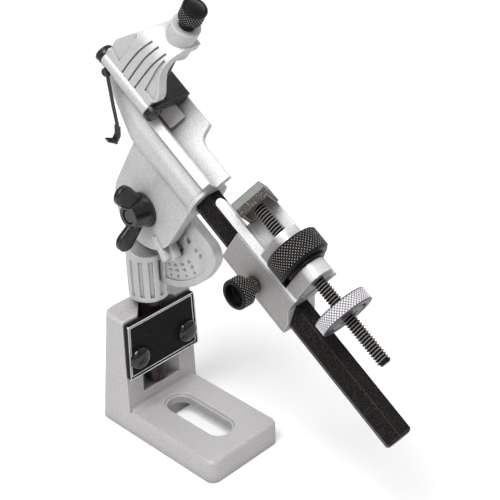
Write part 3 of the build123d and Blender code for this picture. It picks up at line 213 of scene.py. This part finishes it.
BLACK = (0.007, 0.006, 0.006)
DIM = (0.13, 0.115, 0.11)       # specks on the black pieces
paint = {
    "base_metal": surface(
        "base_paint", (0.56, 0.54, 0.545), 0.42, 0.15, grain=0.16, speck=(0.16, 0.14, 0.14),
        speck_share=0.24, edge=1.2, rim=(0.86, 0.85, 0.85), corner_shade=0.6, corner_shade_reach=9,
    ),
    "plate_black": surface(
        "plate_black", (0.005, 0.005, 0.006), 0.5, 0.0, speck=DIM, speck_share=0.25, specular=0.12
    ),
    "black_steel": surface(
        "black_oxide", BLACK, 0.3, 0.0, speck=DIM, speck_share=0.24, specular=0.25, coat=0.15,
        edge=0.9, rim=(0.15, 0.13, 0.12), corner_shade=0.6, bump=0.25, bump_scale=500,
    ),
    "dark_steel": surface(
        "dark_steel", (0.05, 0.035, 0.032), 0.26, 0.6, speck=DIM, speck_share=0.25, edge=0.6
    ),
    "bright_metal": surface(
        "bright_casting", (0.56, 0.56, 0.57), 0.32, 0.4, tone=0.18, tone_scale=130, bump=0.03,
        grain=0.08, stretch=(1.6, 1.6, 0.35), edge=0.9, rim=(0.92, 0.92, 0.94), corner_shade=0.75,
        corner_shade_reach=7,
    ),
    # its top colour is partly painted light on the upper faces, and its grime broad painted shade in
    # the hollows, such as under the barrel
    "head_metal": surface(
        "head_paint", (0.60, 0.59, 0.595), 0.40, 0.12, grain=0.16, speck=(0.2, 0.18, 0.18),
        speck_share=0.25, edge=1.0, rim=(0.95, 0.95, 0.95), corner_shade=0.85, corner_shade_reach=12,
        top=(0.84, 0.84, 0.85), top_rough=0.4,
    ),
    # its top colour is partly the polished upper faces and partly painted light from above
    "slide_metal": surface(
        "slide_paint", (0.34, 0.325, 0.32), 0.42, 0.2, grain=0.14, speck=(0.6, 0.6, 0.6),
        speck_share=0.25, edge=0.8, rim=(0.9, 0.9, 0.9), corner_shade=0.75, corner_shade_reach=8,
        top=(0.84, 0.84, 0.86), top_rough=0.3,
    ),
    "black_rod": surface(
        "black_rod", (0.0065, 0.0048, 0.0043), 0.45, 0.0, grain=0.5, grain_scale=1500,
        speck=(0.08, 0.06, 0.05), speck_scale=1500, speck_share=0.17, specular=0.15, edge=0.5,
        rim=(0.12, 0.10, 0.085),
    ),
    "grey_steel": surface(
        "grey_steel", (0.72, 0.68, 0.66), 0.4, 0.1, grain=0.16, speck=(0.15, 0.15, 0.15),
        speck_share=0.25, edge=0.4, rim=(0.1, 0.09, 0.09), corner_shade=0.5,
    ),
    "zinc_steel": surface(
        "zinc", (0.72, 0.76, 0.82), 0.28, 0.4, speck=(0.4, 0.4, 0.45), speck_share=0.27
    ),
}
gloss_black = surface(
    "gloss_black", (0.004, 0.003, 0.003), 0.14, 0.0, speck=DIM, speck_share=0.24, specular=0.5,
    coat=0.3, edge=1.0, rim=(0.10, 0.075, 0.065),
)


def stop_surface():
    """Grey-green front block, black behind it and pale on the inside."""
    material = surface("stop_metal", (0.20, 0.22, 0.20), 0.45, 0.3, speck=(0.1, 0.1, 0.1), edge=0.4)
    tree = material.node_tree
    shader = tree.nodes["Principled BSDF"]
    place = tree.nodes.new("ShaderNodeTexCoord").outputs["Object"]
    middle = at(0, 0, FEED_N)
    grey = shader.inputs["Base Color"].links[0].from_socket
    spots = span(tree, noise(tree, place, 1500, 2.0), 0.52, 0.66, 0, 1)
    black = mix(tree, spots, (0.018, 0.015, 0.014), (0.20, 0.17, 0.15))
    inside = None
    for direction in (W_DIR + N_DIR, W_DIR - N_DIR, -W_DIR + N_DIR, -W_DIR - N_DIR):
        direction = direction.normalized()
        inner, outer = STOP_INSIDE
        near = nearness(tree, place, -direction, -direction.dot(middle), -outer * MM, -inner * MM)
        if inside is None:
            inside = near
        else:
            both = tree.nodes.new("ShaderNodeMath")
            both.operation = "MULTIPLY"
            link(tree, inside, both.inputs[0])
            link(tree, near, both.inputs[1])
            inside = both.outputs[0]
    rear = mix(tree, inside, black, (0.42, 0.39, 0.36))
    behind = nearness(tree, place, T_DIR, T_DIR.dot(at(STOP_SOLID_T, 0, 0)), -0.0001, 0.0001)
    link(tree, mix(tree, behind, grey, rear), shader.inputs["Base Color"])
    return material


paint["stop_metal"] = stop_surface()
# its pale peaks are a painted highlight on the black knurl
knurl_black = surface(
    "knurled_black", (0.006, 0.005, 0.005), 0.35, 0.0, lit_peak=(0.62, 0.58, 0.55), lit_peak_heights=(0.55, 0.85),
    specular=0.2,
)
# its near-black colour is painted shade in the grooves of the zinc knurl, and its pale peaks a
# painted highlight
knurl_zinc = surface(
    "knurled_zinc", (0.06, 0.05, 0.06), 0.35, 0.0, lit_peak=(0.84, 0.82, 0.86), lit_peak_heights=(0.12, 0.34)
)
silver = surface("silver_line", (0.85, 0.85, 0.86), 0.35, 0.1)
contour = surface("numeral_shade", (0.10, 0.10, 0.10), 0.5, 0.2)

GLOSSY = ("wing_nut", "hinge_pin", "pivot_bolt")
for part in frame["record"]["subparts"]:
    node = nodes[part["node"]]
    finish = gloss_black if part["node"] in GLOSSY else paint[part["material_slot"]]
    node.data.materials.clear()
    node.data.materials.append(finish)


# ================= shaped pieces =================
def add_mesh(name, points, faces, material, body, slot, smooth=35, lit_peak=None):
    mesh = bpy.data.meshes.new(name)
    mesh.from_pydata(points, [], faces)
    mesh.validate()
    mesh.update()
    # per point, how far up a peak it lies, for the painted highlight on peaks
    if lit_peak:
        layer = mesh.attributes.new("lit_peak", "FLOAT", "POINT")
        layer.data.foreach_set("value", lit_peak)
    mesh.shade_smooth()
    mesh.set_sharp_from_angle(angle=radians(smooth))
    obj = bpy.data.objects.new(name, mesh)
    bpy.context.scene.collection.objects.link(obj)
    obj.data.materials.append(material)
    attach(obj, body)
    return obj


def wave(x):
    """Triangle wave from 0 to 1 and back, period 1."""
    x = x % 1.0
    return 1 - abs(2 * x - 1)


def turned(name, origin, axis, across, rows, count, material, body, slot, relief=None, smooth=35):
    """A closed piece turned about an axis. rows are (distance along the axis, radius, worked) in mm.

    They run from the axis to the axis, or come back to the first row and make a ring.
    """
    side = axis.cross(across)
    looped = rows[0] == rows[-1]
    points, lit_peak, faces, rings = [], [], [], []
    for along, radius, worked in rows[:-1] if looped else rows:
        start = len(points)
        if radius == 0:
            points.append(origin + axis * along * MM)
            lit_peak.append(0.0)
            rings.append([start] * count)
            continue
        for k in range(count):
            angle = 2 * pi * k / count
            height, bright = relief(angle, along) if relief and worked else (0.0, 0.0)
            direction = across * cos(angle) + side * sin(angle)
            points.append(origin + axis * along * MM + direction * (radius + height) * MM)
            lit_peak.append(bright)
        rings.append(list(range(start, start + count)))
    if looped:
        rings.append(rings[0])
    for low, high in zip(rings, rings[1:]):
        for k in range(count):
            face = (low[k], low[(k + 1) % count], high[(k + 1) % count], high[k])
            faces.append(tuple(dict.fromkeys(face)))
    return add_mesh(name, points, faces, material, body, slot, smooth, lit_peak)


def plain(*points):
    """Rows of a smooth stretch, from (distance along the axis, radius) pairs."""
    return [(along, radius, False) for along, radius in points]


def band(start, end, radius, step):
    """Rows of a worked band, about step apart."""
    count = max(1, round(abs(end - start) / step))
    return [(start + (end - start) * k / count, radius, True) for k in range(count + 1)]


def knurl(teeth, pitch, depth):
    """Diamond knurl: teeth round the piece, pitch along it, cut to depth (all mm)."""

    def relief(angle, along):
        turn = teeth * angle / (2 * pi)
        peak = min(wave(turn + along / pitch), wave(turn - along / pitch))
        return depth * (peak - 1), peak

    return relief


def thread(pitch, depth):
    """Right-hand thread with flattened crests and roots (all mm)."""

    def relief(angle, along):
        peak = min(1.0, max(0.0, wave(along / pitch - angle / (2 * pi)) * 1.5 - 0.25))
        return depth * (peak - 1), peak * 0.9

    return relief


# its pale crests are a painted highlight on the black thread
thread_black = surface(
    "black_thread", (0.006, 0.005, 0.005), 0.35, 0.0, lit_peak=(0.34, 0.31, 0.29), lit_peak_heights=(0.7, 0.9),
    specular=0.2,
)

# tail screw: threaded all the way, with a plain bevelled end
FEED = at(0, 0, FEED_N)
rows = plain((49.0, 0), (49.0, SCREW_R), (STOP_SOLID_T, SCREW_R))
rows += band(STOP_SOLID_T, 164.3, SCREW_R, THREAD_STEP)
rows += plain((165.7, 3.0), (165.7, 0))
tail_thread = turned(
    "tail_screw_thread", FEED, T_DIR, W_DIR, rows, 40, thread_black, "feed", "dark_steel",
    thread(PITCH, THREAD_DEPTH), smooth=50,
)
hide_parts("tail_screw")

# feed nut: knurled rim between bevels, smooth collar at the tail side
rows = plain((83.7, BORE_R), (83.7, 15.4), (84.8, 16.5))
rows += band(84.9, 95.7, 16.6, KNURL_STEP)
rows += plain((95.9, 16.4), (97.4, 14.8), (97.4, 12.0), (98.9, 12.0))
rows += plain((99.2, 11.6), (99.2, BORE_R), (83.7, BORE_R))
feed = turned(
    "feed_nut_knurled", FEED, T_DIR, W_DIR, rows, 440, knurl_black, "nut", "black_steel",
    knurl(48, 2.1, 0.55),
)
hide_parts("feed_nut")

# stop nut: diamond knurl, one turned groove in its tail face
rows = plain((126.2, BORE_R), (126.2, 16.0), (126.8, 16.6))
rows += band(126.9, 133.5, 16.65, KNURL_STEP)
rows += plain((133.7, 16.5), (134.2, 15.8), (134.2, 12.0), (133.0, 11.7))
rows += plain((133.0, 10.7), (134.2, 10.4), (134.2, 6.2), (133.8, 5.8))
rows += plain((133.8, BORE_R), (126.2, BORE_R))
stop = turned(
    "stop_nut_knurled", FEED, T_DIR, W_DIR, rows, 470, knurl_zinc, "stop", "zinc_steel",
    knurl(52, 2.0, 0.5),
)
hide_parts("stop_nut")

# slide lock screw: knurled cup and neck, deep recess
LOCK = at(84.2, 0, 42.1)
rows = plain((9.3, 0), (9.3, 3.2), (9.9, 3.97), (12.2, 3.97), (12.2, 5.2))
rows += band(12.5, 18.2, 5.5, 0.25)
rows += plain((18.6, 5.6), (19.2, 8.4))
rows += band(19.6, 26.6, 9.2, KNURL_STEP)
rows += plain((27.4, 8.5), (27.6, 8.0), (27.6, 7.0), (27.2, 6.6))
rows += plain((22.6, 6.5), (22.2, 6.0), (22.2, 0))
lock = turned(
    "slide_lock_screw_knurled", LOCK, -W_DIR, T_DIR, rows, 280, knurl_black, "lock", "black_steel",
    knurl(30, 1.9, 0.5),
)
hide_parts("slide_lock_screw")

# clamp screw: thread, neck and knurled head with a domed top
CLAMP = at(-37, 0, 0)
rows = plain((76.35, 0), (76.35, 1.9), (77.2, 3.3), (78.4, 3.95))
rows += band(79.0, 121.8, 3.95, THREAD_STEP)
rows += plain((122.8, 3.9), (122.8, 4.7), (126.6, 4.7), (127.4, 5.2), (128.0, 6.4), (128.3, 7.0))
clamp = turned(
    "clamp_screw_shank", CLAMP, N_DIR, W_DIR, rows, 48, thread_black, "thumb", "black_steel",
    thread(PITCH, THREAD_DEPTH), smooth=50,
)
rows = plain((128.0, 0), (128.0, 6.7))
rows += band(128.5, 135.6, 7.3, KNURL_STEP)
rows += plain((136.2, 7.2), (136.8, 6.8), (136.8, 6.2), (136.5, 5.9))
rows += plain((137.0, 4.6), (137.35, 3.0), (137.5, 1.5), (137.5, 0))
thumb = turned(
    "clamp_screw_head", CLAMP, N_DIR, W_DIR, rows, 300, knurl_black, "thumb", "black_steel",
    knurl(26, 1.9, 0.5),
)
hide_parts("clamp_screw")
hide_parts("clamp_screw")


# ---- name plate: two silver lines round the bare black field, and domed screws ----
PLATE_LOW_Y = 29.3    # half its width at its foot
PLATE_TOP_Y = 28.1    # and at its top
PLATE_Z0 = 43.5
PLATE_Z1 = 83.5
SCREW_Y = 20.1        # its screws from the middle
SCREW_Z = 57.0
SCREW_X = 9.78        # seat of their heads


def frame_line(name, inset, width, height):
    """A raised line round the plate's field, whose sides lean in."""
    rings = []
    for step, rise in ((inset, 0.0), (inset, height), (inset + width, height), (inset + width, 0.0)):
        corners = (
            (-PLATE_LOW_Y, PLATE_Z0), (PLATE_LOW_Y, PLATE_Z0),
            (PLATE_TOP_Y, PLATE_Z1), (-PLATE_TOP_Y, PLATE_Z1),
        )
        ring = []
        for (y, z), (in_y, in_z) in zip(corners, ((1, 1), (-1, 1), (-1, -1), (1, -1))):
            ring.append((PLATE_X + rise, y + in_y * step, z + in_z * step))
        rings.append(ring)
    points = [Vector(p) * MM for ring in rings for p in ring]
    faces = []
    for k in range(4):
        for c in range(4):
            a, b = 4 * k, 4 * ((k + 1) % 4)
            faces.append((a + c, a + (c + 1) % 4, b + (c + 1) % 4, b + c))
    return add_mesh(name, points, faces, silver, "base", "plate_black", smooth=20)


frame_line("plate_border_outer", inset=0.1, width=0.85, height=0.64)
frame_line("plate_border_inner", inset=1.9, width=0.55, height=0.12)
X_DIR = Vector((1, 0, 0))
for index, y in enumerate((-SCREW_Y, SCREW_Y)):
    rows = plain((SCREW_X, 0), (SCREW_X, 7.7), (10.9, 7.7), (11.9, 7.3), (12.9, 6.3), (13.7, 4.9))
    rows += plain((14.2, 3.3), (14.38, 1.6), (14.4, 0))
    screw = turned(
        "plate_screw_head_%d" % (index + 1), Vector((0, y, SCREW_Z)) * MM, X_DIR, W_DIR,
        rows, 64, gloss_black, "base", "black_steel", smooth=60,
    )
    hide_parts("plate_screws")


# ---- thick rolled rims of the strap's two ears ----
HINGE = at(0, -14.3, 71.0)
RIM_IN = 4.2
for name, start, step in (("strap_ear_rim_rear", -21.9, 1), ("strap_ear_rim_front", -66.9, -1)):
    rows = plain((start, RIM_IN), (start, 5.4), (start + 0.5 * step, 5.65), (start + 1.4 * step, 5.6))
    rows += plain((start + 1.9 * step, 5.1), (start + 1.9 * step, 4.4))
    rows += plain((start + 1.6 * step, RIM_IN), (start, RIM_IN))
    turned(
        name, HINGE, T_DIR, W_DIR, rows[::step], 56, paint["black_steel"], "clamp", "black_steel",
        smooth=50,
    )

# ---- numerals cast on the index sector, each angle from the head's own direction ----
FIELD_Y = 1.0         # sunk field of the sector
GLYPH = 4.4           # height of a figure
RING_GLYPH = 3.0


def glyph(text, size, radius, angle):
    """Raised figure and its shaded contour, as (points, faces) in metres on the sector's field."""
    out = T_DIR * cos(angle) + N_DIR * sin(angle)
    over = N_DIR * cos(angle) - T_DIR * sin(angle)
    found = []
    for fill, extrude, bevel in (("BOTH", 0.16, 0.0), ("NONE", 0.0, 0.20)):
        curve = bpy.data.curves.new("glyph", "FONT")
        curve.body = text
        curve.size = size
        curve.align_x = "CENTER"
        curve.align_y = "CENTER"
        curve.resolution_u = 3
        curve.fill_mode = fill
        curve.extrude = extrude
        curve.bevel_depth = bevel
        curve.bevel_resolution = 0
        sample = bpy.data.objects.new("glyph", curve)
        bpy.context.scene.collection.objects.link(sample)
        graph = bpy.context.evaluated_depsgraph_get()
        shape = bpy.data.meshes.new_from_object(sample.evaluated_get(graph))
        points = []
        for v in shape.vertices:
            x, y, z = v.co
            points.append(PIVOT + (out * (radius + x) + over * y + W_DIR * (FIELD_Y - z)) * MM)
        found.append((points, [tuple(p.vertices) for p in shape.polygons]))
        bpy.data.objects.remove(sample)
        bpy.data.meshes.remove(shape)
        bpy.data.curves.remove(curve)
    return found


marks = [("8", 38.4, 2), ("8", 42.7, 2)]
for text, angle in (("68", -16), ("59", -27), ("49", -37), ("41", -45)):
    marks += [(text[0], 40.0, angle), (text[1], 43.6, angle), ("o", 47.4, angle)]
sets = [([], []), ([], [])]
for text, radius, angle in marks:
    size = RING_GLYPH if text == "o" else GLYPH
    figure = glyph(text, size, radius, radians(angle))
    for (points, faces), (new_points, new_faces) in zip(sets, figure):
        start = len(points)
        points += new_points
        faces += [tuple(start + v for v in face) for face in new_faces]
add_mesh("sector_numerals", *sets[0], paint["bright_metal"], "bracket", "bright_metal")
add_mesh("sector_numeral_shades", *sets[1], contour, "bracket", "bright_metal")

# ================= camera, light and floor =================
camera_data = bpy.data.cameras.new("camera")
camera_data.lens = 96.36
camera_data.sensor_width = 36
camera_data.clip_end = 20
camera = bpy.data.objects.new("camera", camera_data)
bpy.context.scene.collection.objects.link(camera)
bpy.context.scene.camera = camera
AZ, EL, ROLL = radians(45.589), radians(30.882), radians(-2.048)
back = Vector((sin(AZ) * cos(EL), -cos(AZ) * cos(EL), sin(EL)))
right = Vector((cos(AZ), sin(AZ), 0))
up = back.cross(right)
turned_right = right * cos(ROLL) + up * sin(ROLL)
turned_up = up * cos(ROLL) - right * sin(ROLL)
pose = Matrix((turned_right, turned_up, back)).transposed().to_4x4()
pose.translation = Vector((0.5513, -0.4503, 0.5440))
camera.matrix_world = pose


AIM = Vector((0.04, 0, 0.15))


def lamp(name, place, size, power):
    """Round soft lamp that looks at the middle of the tool."""
    data = bpy.data.lights.new(name, "AREA")
    data.shape = "DISK"
    data.size = size
    data.energy = power
    obj = bpy.data.objects.new(name, data)
    bpy.context.scene.collection.objects.link(obj)
    obj.location = place
    obj.rotation_euler = (AIM - Vector(place)).to_track_quat("-Z", "Y").to_euler()


lamp("key", (0.25, -0.75, 1.7), size=0.9, power=24)
lamp("front", (1.3, -1.2, 0.9), size=1.2, power=1)
lamp("rim", (-0.3, 1.3, 0.9), size=0.9, power=4)

world = bpy.data.worlds.new("studio")
bpy.context.scene.world = world
world.use_nodes = True
tree = world.node_tree
sky = tree.nodes["Background"]
place = tree.nodes.new("ShaderNodeTexCoord")
split = tree.nodes.new("ShaderNodeSeparateXYZ")
link(tree, place.outputs["Generated"], split.inputs["Vector"])
height = span(tree, split.outputs["Z"], -0.2, 0.9, 0.0, 1.0)
link(tree, mix(tree, height, (0.45, 0.45, 0.46), (1.0, 1.0, 1.0)), sky.inputs["Color"])
sky.inputs["Strength"].default_value = 0.55

# white floor that keeps the tool's shadow, glowing a little by itself
FAR = 6
FLOOR_GLOW = 0.24
floor_mesh = bpy.data.meshes.new("floor")
corners = [(-FAR, -FAR, 0), (FAR, -FAR, 0), (FAR, FAR, 0), (-FAR, FAR, 0)]
floor_mesh.from_pydata(corners, [], [(0, 1, 2, 3)])
floor = bpy.data.objects.new("floor", floor_mesh)
bpy.context.scene.collection.objects.link(floor)
white = bpy.data.materials.new("floor_white")
white.use_nodes = True
tree = white.node_tree
tree.nodes.remove(tree.nodes["Principled BSDF"])
diffuse = tree.nodes.new("ShaderNodeBsdfDiffuse")
diffuse.inputs["Color"].default_value = (0.86, 0.86, 0.86, 1)
glow = tree.nodes.new("ShaderNodeEmission")
lifted = tree.nodes.new("ShaderNodeAddShader")
path = tree.nodes.new("ShaderNodeLightPath")
seen = tree.nodes.new("ShaderNodeMath")
seen.operation = "MULTIPLY"
seen.inputs[1].default_value = FLOOR_GLOW
link(tree, path.outputs["Is Camera Ray"], seen.inputs[0])
link(tree, seen.outputs[0], glow.inputs["Strength"])
link(tree, diffuse.outputs[0], lifted.inputs[0])
link(tree, glow.outputs[0], lifted.inputs[1])
link(tree, lifted.outputs[0], tree.nodes["Material Output"].inputs["Surface"])
floor.data.materials.append(white)

bpy.context.scene.view_settings.view_transform = "Standard"
